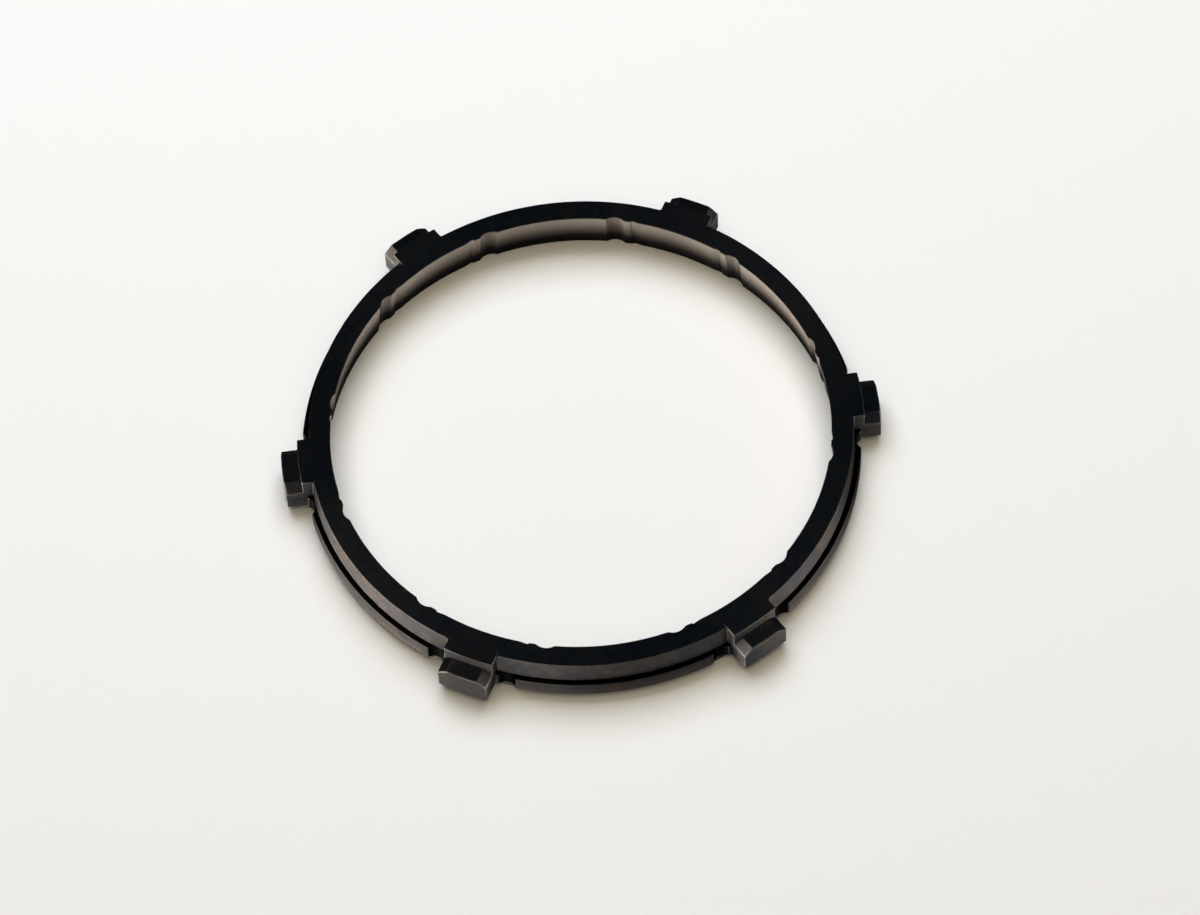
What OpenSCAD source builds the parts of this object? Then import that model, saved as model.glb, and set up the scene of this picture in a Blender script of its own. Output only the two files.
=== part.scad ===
// Synchronizer ring of a truck gearbox, one forged and turned steel piece.
// Millimetres. The axis of the ring is Z. The ring lies on its large-end face at z = 0.

/* [Friction cone] */
// Diameter of the friction cone at its small end, on the top face
cone_small_d = 156.4; // [120:0.2:200]
// Angle between the friction cone and the axis, in degrees
cone_half_angle = 7; // [5:0.25:9]

/* [Ring wall] */
// Height of the ring from the large-end face to the small-end face
ring_h = 15.6; // [13:0.1:22]
// Wall between the friction cone and the outside, on the small-end face
wall_t = 6.8; // [6:0.1:10]
// Angle by which the outer wall flares towards the flange, in degrees
wall_flare = 4.4; // [2:0.1:6]

/* [Flange] */
// How far the flange stands out past the top edge of the ring wall
flange_reach = 2.6; // [1.8:0.1:3.2]
// Depth of the flange's upper face below the small-end face
ledge_drop = 7.8; // [6:0.1:9]
// Height of the backs of the flange and the lugs above the large-end face
back_step = 2.5; // [1.5:0.1:4]
// How far the rim of the large-end face lies inside the flared line of the ring wall
rim_inset = 0.5; // [0.3:0.1:1.5]

/* [Lugs] */
// Number of lugs around the ring
lug_count = 6; // [3:1:9]
// Width of a lug between its flanks
lug_w = 16; // [12:0.2:22]
// How far the raised shoulder of a lug stands out past the ring wall
shoulder_reach = 3.65; // [3.3:0.05:5]
// How far the blocking tooth of a lug stands out past the ring wall
tooth_reach = 9; // [6.5:0.1:13]
// Depth of the tooth's crest below the small-end face
tooth_drop = 3.5; // [1.5:0.1:5.5]
// Width of the flat crest between the blocking chamfers
crest_w = 10; // [6:0.2:11]
// Angle of the blocking chamfers below the crest, in degrees
chamfer_angle = 37; // [25:1:45]
// Radius of the fillet between a lug's flank and the ring wall
root_r = 0.8; // [0.4:0.1:1.2]

/* [Flange reliefs] */
// Radius of the round relief milled through the flange beside each lug
relief_r = 3.2; // [2.6:0.1:4]
// Strip of flange left between a lug's flank and its relief
relief_land = 0.8; // [0.6:0.1:2]
// Strip of flange left between the ring and the floor of a relief
relief_strip = 0.2; // [0.1:0.05:0.6]

/* [Oil grooves] */
// Oil grooves in the friction cone for each lug
grooves_per_lug = 2; // [1:1:4]
// Width of a groove at its mouth
groove_w = 5.6; // [3:0.1:8]
// Depth of a groove below the friction cone
groove_depth = 1; // [0.5:0.05:1.6]

/* [Edges] */
// Broken edge on every turned corner
edge_break = 0.3; // [0.15:0.05:0.45]

/* [Hidden] */
$fn = 180;

// Cutting tools run this far past the faces that they cut
overrun = 1;

// Radii that follow from the small end of the friction cone
cone_r = cone_small_d / 2;
wall_r = cone_r + wall_t;
flange_r = wall_r + flange_reach;
shoulder_r = wall_r + shoulder_reach;
tooth_r = wall_r + tooth_reach;

// Heights above the large-end face
ledge_z = ring_h - ledge_drop;
crest_z = ring_h - tooth_drop;

// Radius of the friction cone and of the flared outer wall at a height
function cone_at(z) = cone_r + (ring_h - z) * tan(cone_half_angle);
function wall_at(z) = wall_r + (ring_h - z) * tan(wall_flare);

// The rim follows the flare of the wall down to the large-end face
rim_r = wall_at(0) - rim_inset;

// Lugs are rooted in the middle of the wall, where the friction cone is widest
lug_root_r = (cone_at(back_step) + wall_r) / 2;
// The blocking chamfers run from the tops of the flanks, through the edges of the crest, to a ridge
chamfer_slope = tan(chamfer_angle);
flank_z = crest_z - (lug_w - crest_w) / 2 * chamfer_slope;
ridge_z = flank_z + lug_w / 2 * chamfer_slope;
lug_pitch = 360 / lug_count;

// A relief stands beside the flank, with its floor just outside the foot of the wall and the rim
relief_side = lug_w / 2 + relief_land + relief_r;
relief_axis_r = max(wall_at(ledge_z), rim_r) + relief_strip + relief_r;
relief_out = sqrt(relief_axis_r * relief_axis_r - relief_side * relief_side);

// A groove is an arc of this radius, centred inside the ring
groove_r = (groove_w * groove_w / 4 + groove_depth * groove_depth) / (2 * groove_depth);
groove_pitch = lug_pitch / grooves_per_lug;

// Turned section of the ring: rim, flange, flared wall and friction cone
module ring_section() {
    e = edge_break;
    polygon([
        [cone_at(0) + e, 0],
        [rim_r - e, 0],
        [rim_r, e],
        [rim_r, back_step],
        [flange_r - e, back_step],
        [flange_r, back_step + e],
        [flange_r, ledge_z - e],
        [flange_r - e, ledge_z],
        [wall_at(ledge_z), ledge_z],
        [wall_at(ring_h - e), ring_h - e],
        [wall_r - e, ring_h],
        [cone_r + e, ring_h],
        [cone_at(ring_h - e), ring_h - e],
        [cone_at(e), e]
    ]);
}

// Turned section of a lug's raised shoulder
module shoulder_section() {
    e = edge_break;
    polygon([
        [lug_root_r, back_step],
        [shoulder_r, back_step],
        [shoulder_r, ring_h - e],
        [shoulder_r - e, ring_h],
        [lug_root_r, ring_h]
    ]);
}

// Turned section of a lug's blocking tooth
module tooth_section() {
    e = edge_break;
    polygon([
        [lug_root_r, back_step],
        [tooth_r - e, back_step],
        [tooth_r, back_step + e],
        [tooth_r, crest_z - e],
        [tooth_r - e, crest_z],
        [lug_root_r, crest_z]
    ]);
}

// Outline of a tooth seen along its radius: the blocking chamfers meet in a ridge above the crest
module tooth_outline() {
    polygon([
        [-lug_w / 2, 0],
        [lug_w / 2, 0],
        [lug_w / 2, flank_z],
        [0, ridge_z],
        [-lug_w / 2, flank_z]
    ]);
}

module at_each_lug() {
    for (i = [0 : lug_count - 1]) rotate(i * lug_pitch) children();
}

// Bar that follows an outline along the radius of the first lug
module radial_bar() {
    rotate([90, 0, 90]) linear_extrude(tooth_r + overrun) children();
}

module shoulders() {
    intersection() {
        rotate_extrude() shoulder_section();
        at_each_lug() radial_bar() translate([-lug_w / 2, 0]) square([lug_w, ring_h + overrun]);
    }
}

module blocking_teeth() {
    intersection() {
        rotate_extrude() tooth_section();
        at_each_lug() radial_bar() tooth_outline();
    }
}

// Fillet between the flank of a lug and the ring wall, above the flange
module root_fillet() {
    corner = sqrt(pow(wall_r + root_r, 2) - pow(lug_w / 2 + root_r, 2));
    translate([0, 0, ledge_z])
    linear_extrude(ring_h - ledge_z - edge_break)
    difference() {
        translate([corner - root_r - wall_t / 2, lug_w / 2 - root_r])
            square([root_r + wall_t / 2, 2 * root_r]);
        translate([corner, lug_w / 2 + root_r]) circle(root_r);
    }
}

module root_fillets() {
    at_each_lug() {
        root_fillet();
        mirror([0, 1, 0]) root_fillet();
    }
}

// Round reliefs through the flange on both sides of every lug
module flange_reliefs() {
    at_each_lug()
        for (side = [-1, 1])
            translate([relief_out, side * relief_side, -overrun])
                cylinder(r = relief_r, h = ledge_z + 2 * overrun);
}

// Axial oil grooves that follow the slope of the friction cone
module oil_grooves() {
    length = ring_h / cos(cone_half_angle) + 4 * overrun;
    for (i = [0 : lug_count * grooves_per_lug - 1])
        rotate((i + 0.5) * groove_pitch)
        translate([cone_at(0), 0, 0])
        rotate([0, -cone_half_angle, 0])
        translate([groove_depth - groove_r, 0, -2 * overrun])
            cylinder(r = groove_r, h = length);
}

module synchronizer_ring() {
    color("#1c1c1f")
    difference() {
        union() {
            difference() {
                rotate_extrude() ring_section();
                flange_reliefs();
            }
            shoulders();
            blocking_teeth();
            root_fillets();
        }
        oil_grooves();
    }
}

synchronizer_ring();
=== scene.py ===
import math

import bmesh
import bpy
import numpy as np
from mathutils import Matrix, Vector


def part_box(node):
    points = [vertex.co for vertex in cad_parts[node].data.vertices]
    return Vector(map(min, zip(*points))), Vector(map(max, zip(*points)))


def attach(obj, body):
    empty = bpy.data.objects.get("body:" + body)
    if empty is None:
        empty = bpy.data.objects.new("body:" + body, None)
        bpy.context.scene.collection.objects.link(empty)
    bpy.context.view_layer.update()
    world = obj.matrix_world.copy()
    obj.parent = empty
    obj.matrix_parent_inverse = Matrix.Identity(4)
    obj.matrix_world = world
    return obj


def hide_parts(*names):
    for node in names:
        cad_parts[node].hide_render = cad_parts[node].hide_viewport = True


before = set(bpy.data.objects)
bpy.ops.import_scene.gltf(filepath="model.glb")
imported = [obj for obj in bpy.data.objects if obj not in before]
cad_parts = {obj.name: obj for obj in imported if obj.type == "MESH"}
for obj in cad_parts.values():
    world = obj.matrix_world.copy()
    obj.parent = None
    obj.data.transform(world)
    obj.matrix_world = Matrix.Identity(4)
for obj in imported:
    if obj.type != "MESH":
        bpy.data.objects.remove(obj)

scene = bpy.context.scene
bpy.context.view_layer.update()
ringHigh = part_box("synchronizer_ring")[1]
mm = 0.001
print("frame loaded, the ring reaches", tuple(round(v, 4) for v in ringHigh))


# sRGB hex to linear: up to 0.04045 the code is divided by 12.92, above it goes through a power of 2.4
def linearColour(hexCode):
    code = np.array([int(hexCode[i:i + 2], 16) for i in (1, 3, 5)]) / 255
    linear = np.where(code <= 0.04045, code / 12.92, ((code + 0.055) / 1.055) ** 2.4)
    return (*linear.tolist(), 1.0)


# Adds a node: settings go to its inputs or its properties, links join other nodes' outputs to its inputs
def addNode(tree, kind, settings=None, links=None):
    node = tree.nodes.new(kind)
    for name, value in (settings or {}).items():
        if isinstance(name, int) or name in node.inputs:
            node.inputs[name].default_value = value
        else:
            setattr(node, name, value)
    for name, socket in (links or {}).items():
        tree.links.new(socket, node.inputs[name])
    return node


# The ring, in millimetres and radians: its section changes from row to row round the axis
ring = {
    "height": ringHigh.z / mm,
    "tipR": ringHigh.x / mm,  # radius of the lug tips
    "coneR": 78.2,  # friction cone at the top face
    "coneAngle": math.radians(7),
    "wallR": 85.0,  # outer wall at the top face
    "wallFlare": math.radians(4.4),
    "flangeR": 87.6,
    "rimR": 85.7,  # rim that the ring lies on
    "shoulderR": 88.65,
    "ledgeZ": 7.8,  # upper face of the flange
    "backZ": 2.5,  # backs of the flange and the lugs
    "crestZ": 12.1,
    "lugs": 6,
    "lugHalf": 8.0,
    "crestHalf": 5.0,
    "chamferAngle": math.radians(37),
    "rootR": 0.8,  # fillet between a flank and the wall
    "reliefR": 3.2,
    "reliefLand": 0.8,  # flange left between a flank and its relief
    "reliefInR": 85.9,  # floor of a relief
    "grooveW": 5.6,
    "grooveDepth": 1.0,
    # Broken and rounded edges
    "edgeBreak": 0.3,  # turned corners
    "flangeBreak": 0.7,  # rounder edge of the flange
    "toothBreak": 0.55,  # worn edge of a tooth's tip
    "lugBreak": 0.22,  # flanks of a lug
    "roofLoss": 0.6,  # share of a flank's break that the top of a tooth loses
    "crestRound": 0.4,  # between a crest and its chamfer
    "reliefRound": 0.4,  # between a relief and the flange's edge
    "grooveRound": 0.15,  # mouth of a groove
    "mostOfSide": 0.45,  # a break takes up to this share of a side
    "curveSteps": 5,  # points across a broken edge
    # Rows round half a lug pitch
    "lugSteps": (6, 7, 4, 6),  # over the crest, its edge, the chamfer and the flank's corner
    "chamferStop": 0.3,  # the chamfer's rows stop this far from the corner
    "filletSteps": 8,
    "reliefSteps": 36,
    "reliefStop": 0.2,  # a relief's rows stop this far from half a turn
    "grooveSteps": (5, 8),  # over half the floor of a groove, and over its mouth
    "grooveStops": (-0.7, -0.4, 0.5, 0.9),  # ends of both, and one row more, from the mouth's edge
    "pastRelief": (0.35, 0.5),  # first row after a relief, on the inside and the outside
    "pastReliefR": 84.0,  # radius at which the outside one is measured
    "plainFrom": 19,  # degrees, where rows 1 degree apart begin
    # Points of the top face and the backs
    "faceStep": 0.9,  # first points on the top face, in from the wall's edge
    "lugFaceStep": 0.4,  # on a lug, out from that edge
    "filletFaceStep": 0.22,  # and where a fillet leaves the flank
    "filletDrop": 0.05,  # a fillet's top edge starts this far below the broken edge
    "filletFaceDrop": 0.02,  # and its first points on the top face this far
    "faceMiddle": 1.6,  # second points on the top face, in from the wall's edge
    "faceShare": 0.9,  # how far they follow the rows of the outside
    "lugBackDrop": 0.03,  # keeps a lug's back just clear of the flange's back
    # Wear of the edges, partly painted highlight on the teeth, and painted shade in the grooves, from 0 to 1
    "turnedWear": 0.2,  # on the turned edges
    "toothWearAndHighlight": 0.8,  # more on those of a tooth, partly wear and partly painted highlight
    "crestWear": 0.5,  # along the edges of a crest, partly wear and partly painted highlight
    "crestWearW": 0.25,
    "crestWearDepth": 0.1,  # it stays this near the top of a tooth
    "crestWearStart": 1.0,  # and this far out from the shoulder
    "groovePaintedShade": 0.35,  # painted shade in a groove: how much less of the cone's lighter colour it gets
    "grooveShadeFrom": -0.1,  # depth of a groove where that begins
    "grooveShadeFade": 0.25,
    # Painted shade in the reliefs, at the wall's foot behind them and on the flange's upper edge, from 0 to 1
    "flangePaintedShade": 0.4,  # painted shade on the flange's upper edge
    "footPaintedShade": 0.35,  # painted shade at the foot of the wall behind a relief
    "footGap": 0.05,  # points nearer the wall than this are its foot
    "levelGap": 0.01,  # points nearer a level than this are on it
    # Mesh
    "weldGap": 0.002,
    "sharpAngle": math.radians(32),
}
halfPitch = math.pi / ring["lugs"]
grooveMiddle = halfPitch / 2


# Radius of the friction cone and of the flared wall: the one at the top face, plus the depth below that
# face times the tangent of the slope
def coneAt(z):
    return ring["coneR"] + (ring["height"] - z) * math.tan(ring["coneAngle"])


def wallAt(z):
    return ring["wallR"] + (ring["height"] - z) * math.tan(ring["wallFlare"])


# The larger (or smaller) of two values, rounded where they are nearer than a width: the square of what is
# short of the width, over four widths, is added (or taken away)
def roundedMax(first, second, width):
    short = np.maximum(width - np.abs(first - second), 0)
    return np.maximum(first, second) + short ** 2 / (4 * width)


def roundedMin(first, second, width):
    return -roundedMax(-first, -second, width)


# Rows of the plain section. A row lies at an angle plus a distance across, with one pair for the inside and
# one for the outside of the ring. The other values are the corners of its outer side, and its wear.
def sectionRows(across, **changes):
    rows = {
        "acrossIn": across,
        "acrossOut": across,
        "angleIn": 0,
        "angleOut": 0,
        "tipR": ring["flangeR"],
        "backZ": ring["backZ"],
        "outZ": ring["ledgeZ"],
        "stepR": wallAt(ring["ledgeZ"]),
        "topR": ring["wallR"],
        "topZ": ring["height"],
        "topBreak": ring["edgeBreak"],
        "tipBreak": ring["flangeBreak"],
        "innerTopR": ring["wallR"] - ring["faceStep"],
        "innerTopZ": ring["height"],
        "grooveX": -ring["grooveDepth"],
        "flankWear": 0,
        "crestWear": 0,
        "onTooth": 0,
        "inRelief": 0,
    }
    rows.update(changes)
    return {name: np.broadcast_to(value, across.shape).astype(float) for name, value in rows.items()}


# Half a lug: crest, blocking chamfer, then the flank's corner, where every face loses a quarter round: its
# radius less the root of the radius squared less the distance squared
def lugRows():
    half, crest, cornerR = ring["lugHalf"], ring["crestHalf"], ring["lugBreak"]
    bend = ring["crestRound"]
    crestSteps, bendSteps, chamferSteps, cornerSteps = ring["lugSteps"]
    turn = np.linspace(0, math.pi / 2, cornerSteps)
    across = np.concatenate([
        np.linspace(0, crest - 2 * bend, crestSteps),
        np.linspace(crest - bend, crest + bend, bendSteps),
        np.linspace(crest + 2 * bend, half - cornerR - ring["chamferStop"], chamferSteps),
        half - cornerR + cornerR * np.sin(turn),
    ])
    lost = cornerR - np.sqrt(cornerR ** 2 - np.clip(across - (half - cornerR), 0, cornerR) ** 2)
    slope = math.tan(ring["chamferAngle"])
    flankZ = ring["crestZ"] - (half - crest) * slope
    roof = roundedMin(ring["crestZ"], flankZ + (half - across) * slope, bend)
    return sectionRows(
        across,
        tipR=ring["tipR"] - lost,
        backZ=ring["backZ"] - ring["lugBackDrop"],
        outZ=roof - ring["roofLoss"] * lost,
        stepR=ring["shoulderR"] - lost,
        topR=ring["shoulderR"] - lost,
        topZ=ring["height"] - lost,
        tipBreak=ring["toothBreak"],
        innerTopR=ring["wallR"] + ring["lugFaceStep"],
        innerTopZ=ring["height"] - lost,
        flankWear=np.concatenate([np.zeros(across.size - turn.size), np.sin(2 * turn)]),
        crestWear=ring["crestWear"] * np.exp(-((across - crest) / ring["crestWearW"]) ** 2),
        onTooth=1,
    )


# Root fillet: a quarter circle from the flank to the wall, where the broken top edge grows from none to full
def filletRows():
    half, radius, edgeBreak = ring["lugHalf"], ring["rootR"], ring["edgeBreak"]
    turn = np.linspace(0, math.pi / 2, ring["filletSteps"])
    middleX = math.sqrt((ring["wallR"] + radius) ** 2 - (half + radius) ** 2)
    grown = 1 - np.cos(turn)
    across = half + radius * grown
    filletR = np.hypot(middleX - radius * np.sin(turn), across)
    firstStep, fullStep = ring["filletFaceStep"], ring["faceStep"]
    return sectionRows(
        across,
        stepR=np.maximum(filletR, wallAt(ring["ledgeZ"])),
        topR=filletR,
        topZ=ring["height"] - (edgeBreak + ring["filletDrop"]) * (1 - grown),
        topBreak=edgeBreak * grown,
        innerTopR=filletR - firstStep - (fullStep - firstStep) * grown,
        innerTopZ=ring["height"] - (edgeBreak + ring["filletFaceDrop"]) * (1 - grown),
    )


# Round relief: the flange's edge follows a circle that stops just short of the wall's foot
def reliefRows():
    radius, bend = ring["reliefR"], ring["reliefRound"]
    sideways = ring["lugHalf"] + ring["reliefLand"] + radius
    outwards = math.sqrt((ring["reliefInR"] + radius) ** 2 - sideways ** 2)
    turn = np.linspace(0, math.pi - ring["reliefStop"], ring["reliefSteps"])[1:]
    across = sideways - radius * np.cos(turn)
    circleR = np.hypot(outwards - radius * np.sin(turn), across)
    tipR = roundedMin(ring["flangeR"], circleR, bend)
    return sectionRows(across, tipR=tipR, inRelief=np.clip((ring["flangeR"] - tipR) / bend, 0, 1))


# The rest of the way to the middle between two lugs. An oil groove is an arc of a circle sunk in the
# friction cone, so its rows lie at a distance across from the groove's own middle.
def grooveRows(lastAcross):
    width, depth = ring["grooveW"], ring["grooveDepth"]
    arcR = (width ** 2 / 4 + depth ** 2) / (2 * depth)
    floorSteps, mouthSteps = ring["grooveSteps"]
    floorStop, mouthStart, mouthStop, lastRow = (width / 2 + stop for stop in ring["grooveStops"])
    side = np.concatenate([
        np.linspace(0, floorStop, floorSteps),
        np.linspace(mouthStart, mouthStop, mouthSteps),
        [lastRow],
    ])
    grooveAcross = np.concatenate([-side[:0:-1], side])
    plainAngle = np.radians(np.arange(ring["plainFrom"], round(math.degrees(halfPitch)) + 1))
    pastIn, pastOut = ring["pastRelief"]
    firstIn = math.asin((lastAcross + pastIn) / ring["coneR"])
    firstOut = math.asin((lastAcross + pastOut) / ring["pastReliefR"])
    across = np.concatenate([[0], grooveAcross, np.zeros(plainAngle.size)])
    middle = np.concatenate([[firstIn], np.full(grooveAcross.size, grooveMiddle), plainAngle])
    inside = middle + across / ring["coneR"]
    outside = firstOut + (inside - inside[0]) * (halfPitch - firstOut) / (halfPitch - inside[0])
    sunk = depth - arcR + np.sqrt(np.maximum(arcR ** 2 - across ** 2, 0))
    isGroove = np.concatenate([[0], np.ones(grooveAcross.size), np.zeros(plainAngle.size)])
    return sectionRows(
        np.zeros(across.size),
        acrossIn=across,
        angleIn=middle,
        angleOut=outside,
        grooveX=np.where(isGroove > 0, sunk, -depth),
    )


# Replaces a corner by a quadratic curve between two points on its sides, a break length away
def breakCorner(before, corner, after, length, steps):
    toBefore, toAfter = before - corner, after - corner
    sizeBefore = np.maximum(np.linalg.norm(toBefore, axis=1), 1e-9)  # never a division by nothing
    sizeAfter = np.maximum(np.linalg.norm(toAfter, axis=1), 1e-9)
    reach = np.minimum(length, ring["mostOfSide"] * np.minimum(sizeBefore, sizeAfter))
    start = corner + toBefore * (reach / sizeBefore)[:, None]
    end = corner + toAfter * (reach / sizeAfter)[:, None]
    along = np.linspace(0, 1, steps)[None, :, None]
    left = 1 - along
    return left ** 2 * start[:, None] + 2 * along * left * corner[:, None] + along ** 2 * end[:, None]


# Section of each row: corners (radius, height) from the large end of the cone, outwards and up, and back
# along the top face. Each corner has a break length, its share of the outside angle, and whether it is on
# a lug.
def sectionPoints(rows):
    edgeBreak, top, bend = ring["edgeBreak"], ring["height"], ring["grooveRound"]
    zero = np.zeros(rows["tipR"].size)
    coneTop, coneFoot = (
        roundedMax(coneAt(z), np.hypot(coneAt(z) + rows["grooveX"], rows["acrossIn"]), bend)
        for z in (top, 0))
    backR = (ring["rimR"] + rows["tipR"]) / 2
    corners = [
        (coneFoot, zero, edgeBreak, 0, 0),
        (ring["rimR"] + zero, zero, edgeBreak, 1, 0),
        (ring["rimR"] + zero, ring["backZ"] + zero, 0, 1, 0),
        (backR, rows["backZ"], 0, 1, 1),
        (rows["tipR"], rows["backZ"], edgeBreak, 1, 1),
        (rows["tipR"], rows["outZ"], rows["tipBreak"], 1, 1),
        (rows["stepR"], rows["outZ"], 0, 1, 1),
        (rows["topR"], rows["topZ"], rows["topBreak"], 1, 1),
        (rows["innerTopR"], rows["innerTopZ"], 0, 1, 1),
        (ring["wallR"] - ring["faceMiddle"] + zero, top + zero, 0, ring["faceShare"], 0),
        (coneTop, top + zero, edgeBreak, 0, 0),
    ]
    spots = [np.stack([radius, height], axis=1) for radius, height, *_ in corners]
    pieces, share, onLug, broken = [], [], [], []
    for i, (_, _, length, outer, lug) in enumerate(corners):
        sharp = np.isscalar(length) and length == 0
        steps = 1 if sharp else ring["curveSteps"]
        before, after = spots[i - 1], spots[(i + 1) % len(spots)]
        pieces.append(spots[i][:, None] if sharp else breakCorner(before, spots[i], after, length, steps))
        share += [outer] * steps
        onLug += [lug] * steps
        broken += [0] if sharp else np.sin(np.linspace(0, math.pi, steps)).tolist()
    return np.concatenate(pieces, axis=1), np.array(share), np.array(onLug), np.array(broken)


# Wear of the edges, and painted shade in the recesses. Wear is the break of a turned edge times its share,
# plus that of a lug's corners and crest, and on a tooth it is partly painted highlight. The reliefs are
# painted black as shade, and so in part are the flange's upper edge and the wall's foot behind a relief.
def wearHighlightAndShade(rows, radius, height, onLug, broken):
    column = {name: values[:, None] for name, values in rows.items()}
    turnedWear = broken * (ring["turnedWear"] + ring["toothWearAndHighlight"] * column["onTooth"] * onLug)
    nearTop = height > column["outZ"] - ring["crestWearDepth"]
    onCrest = nearTop * (radius > ring["shoulderR"] + ring["crestWearStart"])
    lugWear = column["flankWear"] * onLug + column["crestWear"] * onCrest
    ledgeZ, gap = ring["ledgeZ"], ring["levelGap"]
    pastFoot = radius > wallAt(ledgeZ) + ring["footGap"]
    onRelief = np.where(pastFoot, 1, ring["footPaintedShade"]) * (height < ledgeZ + gap)
    flangeTop = (height > ledgeZ - ring["flangeBreak"] - gap) * (onRelief == 1)
    paintedShade = np.maximum(column["inRelief"] * onLug * onRelief, ring["flangePaintedShade"] * flangeTop)
    return np.clip(turnedWear + lugWear, 0, 1), paintedShade


# Whole ring: half a lug pitch is mirrored, and the pair is repeated round the axis. The rows close on the
# first one, and so do the points of a section, so the surface is one closed tube.
def ringSurface():
    zones = [lugRows(), filletRows(), reliefRows()]
    zones.append(grooveRows(zones[-1]["acrossOut"][-1]))
    rows = {name: np.concatenate([zone[name] for zone in zones]) for name in zones[0]}
    points, share, onLug, broken = sectionPoints(rows)
    radius, height = points[:, :, 0], points[:, :, 1]
    inner = rows["angleIn"][:, None] + np.arcsin(rows["acrossIn"][:, None] / radius)
    outer = rows["angleOut"][:, None] + np.arcsin(rows["acrossOut"][:, None] / radius)
    angle = inner * (1 - share) + outer * share
    wearAndHighlight, paintedShade = wearHighlightAndShade(rows, radius, height, onLug, broken)
    # Only the two ends of a section bound the friction cone
    coneEnds = np.zeros(share.size)
    coneEnds[[0, -1]] = 1
    # Painted shade: a groove gets less of the cone's lighter colour than the cone around it
    inGroove = np.clip((rows["grooveX"] - ring["grooveShadeFrom"]) / ring["grooveShadeFade"], 0, 1)
    friction = (1 - ring["groovePaintedShade"] * inGroove)[:, None] * coneEnds
    count = angle.shape[0]
    order = np.concatenate([np.arange(count - 2, 0, -1), np.arange(count)])
    side = np.concatenate([-np.ones(count - 2), np.ones(count)])[:, None]
    turns = 2 * halfPitch * np.arange(ring["lugs"])
    angle = (angle[order] * side + turns[:, None, None]).reshape(-1, share.size)
    radius, height, wearAndHighlight, friction, paintedShade = (
        np.tile(values[order], (ring["lugs"], 1)) for values in (radius, height, wearAndHighlight, friction, paintedShade))
    spots = np.stack([radius * np.cos(angle), radius * np.sin(angle), height], axis=2) * mm
    return spots, wearAndHighlight, friction, paintedShade


# Quads between neighbouring rows and neighbouring points of a section, both ways round
def tubeQuads(rowCount, pointCount):
    i, j = np.meshgrid(np.arange(rowCount), np.arange(pointCount), indexing="ij")
    row, nextRow = i * pointCount, (i + 1) % rowCount * pointCount
    nextJ = (j + 1) % pointCount
    return np.stack([row + j, nextRow + j, nextRow + nextJ, row + nextJ], axis=2).reshape(-1, 4)


def makeRing():
    spots, wearAndHighlight, friction, paintedShade = ringSurface()
    mesh = bpy.data.meshes.new("ringBody")
    mesh.from_pydata(spots.reshape(-1, 3).tolist(), [], tubeQuads(*wearAndHighlight.shape).tolist())
    # Attributes: wear, partly painted highlight on the teeth; the friction cone, with painted shade in its
    # grooves; painted shade in the reliefs and on the flange's edge
    for name, values in (("edgeWearAndHighlight", wearAndHighlight), ("frictionFace", friction), ("reliefPaintedShade", paintedShade)):
        mesh.attributes.new(name, "FLOAT", "POINT").data.foreach_set("value", values.ravel())
    # Breaks of no length leave points on top of each other
    weld = bmesh.new()
    weld.from_mesh(mesh)
    bmesh.ops.remove_doubles(weld, verts=weld.verts, dist=ring["weldGap"] * mm)
    weld.to_mesh(mesh)
    weld.free()
    mesh.shade_smooth()
    mesh.set_sharp_from_angle(angle=ring["sharpAngle"])
    piece = bpy.data.objects.new("ringBody", mesh)
    scene.collection.objects.link(piece)
    flatter = piece.modifiers.new("evenShading", "WEIGHTED_NORMAL")
    flatter.keep_sharp = True
    return piece


ringBody = makeRing()
print("ring built,", len(ringBody.data.polygons), "faces")


# Black oxide over turned steel: a dark satin sheen that is drawn out across the turning marks, with brown and
# blue-grey clouds in the oxide, thin grey wear on the edges that on the teeth is partly painted highlight, a
# browner, brighter friction cone that is painted darker towards its large end and in its grooves as shade,
# and painted black shade on the ledge, the flange's upper edge and in the reliefs
oxideFinish = {
    "brownOxide": "#665d55",
    "blueOxide": "#4c4e52",
    # grey of the worn edges, drawn bright enough to paint a highlight along the edges of the teeth
    "wornEdgeAndHighlight": "#a29c93",
    "rubbedCone": "#aaa096",
    # painted shade, darkest at the large end of the friction cone
    "coneShadeColour": "#2c2a29",
    # painted black shade on the ledge, the backs, the flange's upper edge and in the reliefs
    "paintedShadeBlack": "#161616",
    "cloudSize": 14 * mm,
    "spotSize": 2.4 * mm,
    "mottle": (0.75, 1.25),  # clouds plus spots, from all brown to all blue-grey
    "patches": (0.35, 0.65),  # clouds, from no wear on an edge to full wear
    "markPitch": 0.7 * mm,  # real turning marks are near 0.2 mm, drawn coarser to be seen at all
    "markDepth": 0.004 * mm,
    "roughness": (0.42, 0.54),
    "coneRoughness": 0.36,
    "flatRoughness": 0.28,
    "flatFaces": (0.85, 0.97),  # upright share of the normal, from a slope to a flat face
    "coneFrom": 0.6,  # from here up the friction value is all cone, grooves too
    "coneShadeFull": 3 * mm,  # the painted shade on the cone is full up to this height
    "coneShadeGone": 15 * mm,  # and gone at this one
    "ledgeBelow": 9 * mm,  # flat faces lower than this are the ledge and the backs, which are painted black as shade
    "ledgeFade": 0.5 * mm,
    "edgeTint": "#2c2c2c",  # the oxide takes light away at grazing angles
    "stretch": 0.9,  # how far the sheen is drawn out across the marks
    "stretchTurn": 0.25,  # a quarter turn, from along the marks to across them
}


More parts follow.
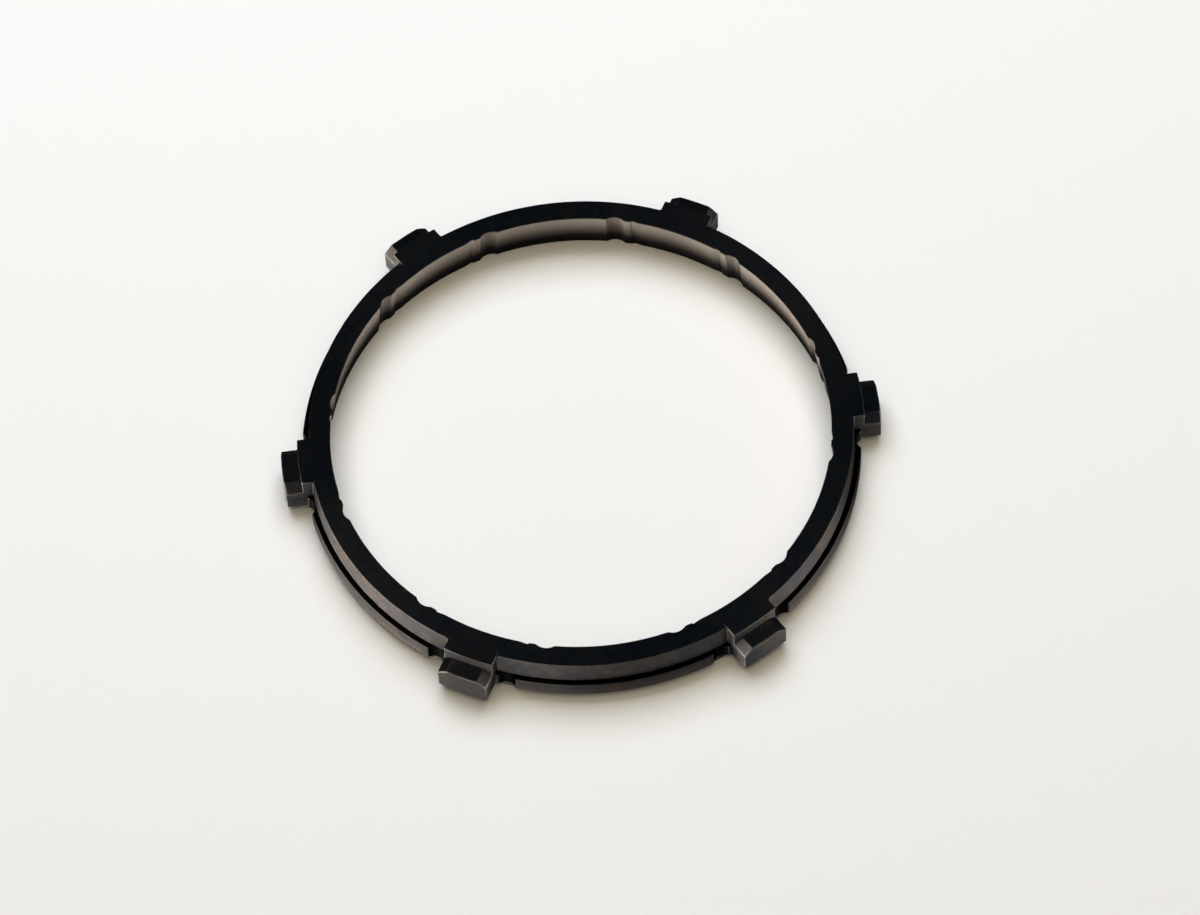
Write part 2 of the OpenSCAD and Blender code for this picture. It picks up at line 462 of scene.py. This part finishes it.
def blackOxideSteel():
    look = oxideFinish
    material = bpy.data.materials.new("blackOxideTurnedSteel")
    material.use_nodes = True
    tree = material.node_tree
    shader = tree.nodes["Principled BSDF"]
    place = addNode(tree, "ShaderNodeTexCoord").outputs["Object"]
    # wear of the edges, partly painted highlight on the teeth
    wearAndHighlight = addNode(tree, "ShaderNodeAttribute", {"attribute_name": "edgeWearAndHighlight"}).outputs["Fac"]
    # the friction cone, with painted shade in its grooves
    cone = addNode(tree, "ShaderNodeAttribute", {"attribute_name": "frictionFace"}).outputs["Fac"]
    # painted shade in the reliefs and on the flange's upper edge
    paintedShade = addNode(tree, "ShaderNodeAttribute", {"attribute_name": "reliefPaintedShade"}).outputs["Fac"]
    clouds = addNode(
        tree, "ShaderNodeTexNoise", {"Scale": 1 / look["cloudSize"], "Detail": 4.0}, {"Vector": place})
    spots = addNode(
        tree, "ShaderNodeTexNoise", {"Scale": 1 / look["spotSize"], "Detail": 3.0}, {"Vector": place})
    cloudsAndSpots = addNode(
        tree, "ShaderNodeMath", links={0: clouds.outputs["Fac"], 1: spots.outputs["Fac"]})
    mottle = addNode(
        tree, "ShaderNodeMapRange", {"From Min": look["mottle"][0], "From Max": look["mottle"][1]},
        {"Value": cloudsAndSpots.outputs["Value"]})
    oxide = addNode(
        tree, "ShaderNodeMix",
        {"data_type": "RGBA", 6: linearColour(look["brownOxide"]), 7: linearColour(look["blueOxide"])},
        {0: mottle.outputs["Result"]})
    # Radius plus height counts across the marks on the faces as well as on the walls
    flat = addNode(tree, "ShaderNodeVectorMath", {"operation": "MULTIPLY", 1: (1, 1, 0)}, {0: place})
    radius = addNode(tree, "ShaderNodeVectorMath", {"operation": "LENGTH"}, {0: flat.outputs["Vector"]})
    height = addNode(tree, "ShaderNodeSeparateXYZ", links={0: place})
    across = addNode(tree, "ShaderNodeMath", links={0: radius.outputs["Value"], 1: height.outputs["Z"]})
    marks = addNode(
        tree, "ShaderNodeTexNoise",
        {"noise_dimensions": "1D", "Scale": 1 / look["markPitch"], "Detail": 2.0, "Roughness": 0.6},
        {"W": across.outputs["Value"]})
    rough = addNode(
        tree, "ShaderNodeMapRange", {"To Min": look["roughness"][0], "To Max": look["roughness"][1]},
        {"Value": marks.outputs["Fac"]})
    # Wear, with the painted highlight on the teeth, is broken up by the clouds, so it comes and goes along an
    # edge
    patchy = addNode(
        tree, "ShaderNodeMapRange", {"From Min": look["patches"][0], "From Max": look["patches"][1]},
        {"Value": clouds.outputs["Fac"]})
    bareAndHighlight = addNode(
        tree, "ShaderNodeMath", {"operation": "MULTIPLY"}, {0: wearAndHighlight, 1: patchy.outputs["Result"]})
    edged = addNode(
        tree, "ShaderNodeMix", {"data_type": "RGBA", 7: linearColour(look["wornEdgeAndHighlight"])},
        {0: bareAndHighlight.outputs["Value"], 6: oxide.outputs[2]})
    # Painted shade: the friction cone is painted darker towards its large end, and darker still in its
    # grooves
    rise = addNode(
        tree, "ShaderNodeMapRange",
        {"interpolation_type": "SMOOTHSTEP", "From Min": look["coneShadeFull"], "From Max": look["coneShadeGone"]},
        {"Value": height.outputs["Z"]})
    coneLightShare = addNode(
        tree, "ShaderNodeMath", {"operation": "MULTIPLY"}, {0: rise.outputs["Result"], 1: cone})
    coneColour = addNode(
        tree, "ShaderNodeMix",
        {"data_type": "RGBA", 6: linearColour(look["coneShadeColour"]), 7: linearColour(look["rubbedCone"])},
        {0: coneLightShare.outputs["Value"]})
    onCone = addNode(tree, "ShaderNodeMapRange", {"From Max": look["coneFrom"]}, {"Value": cone})
    coneAndWallColour = addNode(
        tree, "ShaderNodeMix", {"data_type": "RGBA"},
        {0: onCone.outputs["Result"], 6: edged.outputs[2], 7: coneColour.outputs[2]})
    facing = addNode(tree, "ShaderNodeTexCoord").outputs["Normal"]
    upright = addNode(tree, "ShaderNodeSeparateXYZ", links={0: facing})
    lying = addNode(tree, "ShaderNodeMath", {"operation": "ABSOLUTE"}, {0: upright.outputs["Z"]})
    slope, level = look["flatFaces"]
    flatness = addNode(
        tree, "ShaderNodeMapRange",
        {"interpolation_type": "SMOOTHSTEP", "From Min": slope, "From Max": level},
        {"Value": lying.outputs["Value"]})
    # Painted shade: the ledge, the backs, the reliefs and the flange's upper edge are painted black
    low = addNode(
        tree, "ShaderNodeMapRange",
        {"From Min": look["ledgeBelow"], "From Max": look["ledgeBelow"] - look["ledgeFade"]},
        {"Value": height.outputs["Z"]})
    ledge = addNode(
        tree, "ShaderNodeMath", {"operation": "MULTIPLY"},
        {0: low.outputs["Result"], 1: flatness.outputs["Result"]})
    paintedShadeMask = addNode(
        tree, "ShaderNodeMath", {"operation": "MAXIMUM"}, {0: ledge.outputs["Value"], 1: paintedShade})
    colour = addNode(
        tree, "ShaderNodeMix", {"data_type": "RGBA", 7: linearColour(look["paintedShadeBlack"])},
        {0: paintedShadeMask.outputs["Value"], 6: coneAndWallColour.outputs[2]})
    # The flat faces are ground smoother than the walls, and the cone is rubbed smoother
    ground = addNode(
        tree, "ShaderNodeMix", {"data_type": "FLOAT", 3: look["flatRoughness"]},
        {0: flatness.outputs["Result"], 2: rough.outputs["Result"]})
    smoother = addNode(
        tree, "ShaderNodeMix", {"data_type": "FLOAT", 3: look["coneRoughness"]},
        {0: onCone.outputs["Result"], 2: ground.outputs[0]})
    ridges = addNode(
        tree, "ShaderNodeBump", {"Strength": 0.5, "Distance": look["markDepth"]},
        {"Height": marks.outputs["Fac"]})
    # Marks run round the axis on flat faces, and level along every wall, flank and chamfer
    aroundAxis, alongWall = (
        addNode(tree, "ShaderNodeVectorMath", {"operation": "CROSS_PRODUCT", 0: (0, 0, 1)}, {1: way})
        for way in (place, facing))
    markWay = addNode(
        tree, "ShaderNodeMix", {"data_type": "VECTOR"},
        {0: flatness.outputs["Result"], 4: alongWall.outputs["Vector"], 5: aroundAxis.outputs["Vector"]})
    shader.inputs["Metallic"].default_value = 1.0
    shader.inputs["Specular Tint"].default_value = linearColour(look["edgeTint"])
    shader.inputs["Anisotropic"].default_value = look["stretch"]
    shader.inputs["Anisotropic Rotation"].default_value = look["stretchTurn"]
    tree.links.new(colour.outputs[2], shader.inputs["Base Color"])
    tree.links.new(smoother.outputs[0], shader.inputs["Roughness"])
    tree.links.new(ridges.outputs["Normal"], shader.inputs["Normal"])
    tree.links.new(markWay.outputs[1], shader.inputs["Tangent"])
    return material


ringBody.data.materials.append(blackOxideSteel())
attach(ringBody, "root")
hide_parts("synchronizer_ring")
print("finish done")


# Floor, room and lamps. A lamp has its azimuth and elevation in degrees, its size in metres, its watts, its
# colour, and whether it is for the floor.
studio = {
    "floorSize": 12.0,  # m
    "floorColour": "#f3f0ea",
    "floorRoughness": 0.9,
    "floorGloss": 0.1,
    "roomColour": "#b4d2f0",
    "roomLow": 0.12,  # brightness of the room at the horizon
    "roomHigh": 0.07,  # and overhead
    "roomFade": 0.6,  # height of the direction at which that is reached
    "lampDistance": 1.6,  # m
    "lamps": {
        "backFill": (95, 60, (1.5, 1.2), 27.6, "#e8f0ff", True),
        "topFill": (270, 78, (2.0, 2.0), 14.0, "#ffefcd", True),
        "leftStrip": (190, 6, (1.68, 0.31), 39, "#fffaf4", False),
        "frontStrip": (245, 6, (0.75, 0.31), 5.8, "#fffaf4", False),
        "rightStrip": (341, 6, (1.1, 0.31), 10.8, "#fffaf4", False),
        "rightCorner": (320, 31, (0.35, 0.25), 1.6, "#ffffff", False),
        "leftCorner": (221, 29, (0.3, 0.25), 1.2, "#ffffff", False),
    },
}


# Matt paper: pale and warm, with next to no gloss
def makeFloor():
    half = studio["floorSize"] / 2
    corners = [(-half, -half, 0), (half, -half, 0), (half, half, 0), (-half, half, 0)]
    mesh = bpy.data.meshes.new("floor")
    mesh.from_pydata(corners, [], [(0, 1, 2, 3)])
    floor = bpy.data.objects.new("floor", mesh)
    scene.collection.objects.link(floor)
    paper = bpy.data.materials.new("mattPaper")
    paper.use_nodes = True
    shader = paper.node_tree.nodes["Principled BSDF"]
    shader.inputs["Base Color"].default_value = linearColour(studio["floorColour"])
    shader.inputs["Roughness"].default_value = studio["floorRoughness"]
    shader.inputs["Specular IOR Level"].default_value = studio["floorGloss"]
    mesh.materials.append(paper)


# A soft box at an azimuth and elevation seen from the ring, facing it. Boxes for the floor leave no
# reflection in the metal, and panels for the metal throw no light on the floor.
def softBox(name, azimuth, elevation, size, watts, colour, forFloor):
    light = bpy.data.lights.new(name, "AREA")
    light.shape = "RECTANGLE"
    light.size, light.size_y = size
    light.energy = watts
    light.color = linearColour(colour)[:3]
    turn, lift = math.radians(azimuth), math.radians(elevation)
    towards = Vector((math.cos(turn) * math.cos(lift), math.sin(turn) * math.cos(lift), math.sin(lift)))
    lamp = bpy.data.objects.new(name, light)
    lamp.location = towards * studio["lampDistance"]
    lamp.rotation_mode = "QUATERNION"
    lamp.rotation_quaternion = (-towards).to_track_quat("-Z", "Y")
    lamp.visible_glossy = not forFloor
    lamp.visible_diffuse = forFloor
    lamp.visible_camera = False
    scene.collection.objects.link(lamp)


# The room's brightness fades smoothly with the height of the direction
def makeRoom():
    world = bpy.data.worlds.new("studio")
    scene.world = world
    world.use_nodes = True
    tree = world.node_tree
    background = tree.nodes["Background"]
    direction = addNode(tree, "ShaderNodeTexCoord")
    split = addNode(tree, "ShaderNodeSeparateXYZ", links={0: direction.outputs["Generated"]})
    fade = addNode(
        tree, "ShaderNodeMapRange",
        {"interpolation_type": "SMOOTHSTEP", "From Min": 0.0, "From Max": studio["roomFade"],
         "To Min": studio["roomLow"], "To Max": studio["roomHigh"]},
        {"Value": split.outputs["Z"]})
    background.inputs["Color"].default_value = linearColour(studio["roomColour"])
    tree.links.new(fade.outputs["Result"], background.inputs["Strength"])


makeFloor()
makeRoom()
for lampName, lampValues in studio["lamps"].items():
    softBox(lampName, *lampValues)
print("studio done")


# Camera: a long lens on a point near the ring's middle. Lens in mm, the rest in metres and radians.
cameraView = {
    "lens": 168.75,
    "sensor": 36,
    "clip": (0.05, 50),
    "distance": 1.767936,
    "elevation": 1.025681,
    "azimuth": -0.079611,  # turn of the photograph's view about the axis
    "roll": -0.053072,
    "aimRight": 0.005618,
    "aimUp": -0.001247,
}


def makeCamera():
    view = cameraView
    lift, roll = view["elevation"], view["roll"]
    turn = Matrix.Rotation(view["azimuth"], 3, "Z")
    ahead = turn @ Vector((0, math.cos(lift), -math.sin(lift)))
    level = turn @ Vector((1, 0, 0))
    rise = turn @ Vector((0, math.sin(lift), math.cos(lift)))
    right = level * math.cos(roll) + rise * math.sin(roll)
    up = rise * math.cos(roll) - level * math.sin(roll)
    camera = bpy.data.cameras.new("camera")
    camera.lens = view["lens"]
    camera.sensor_width = view["sensor"]
    camera.clip_start, camera.clip_end = view["clip"]
    holder = bpy.data.objects.new("camera", camera)
    axes = Matrix((right, up, -ahead)).transposed()
    holder.rotation_mode = "QUATERNION"
    holder.rotation_quaternion = axes.to_quaternion()
    holder.location = right * view["aimRight"] + up * view["aimUp"] - ahead * view["distance"]
    scene.collection.objects.link(holder)
    scene.camera = holder


makeCamera()
scene.view_settings.view_transform = "Standard"
print("camera set")
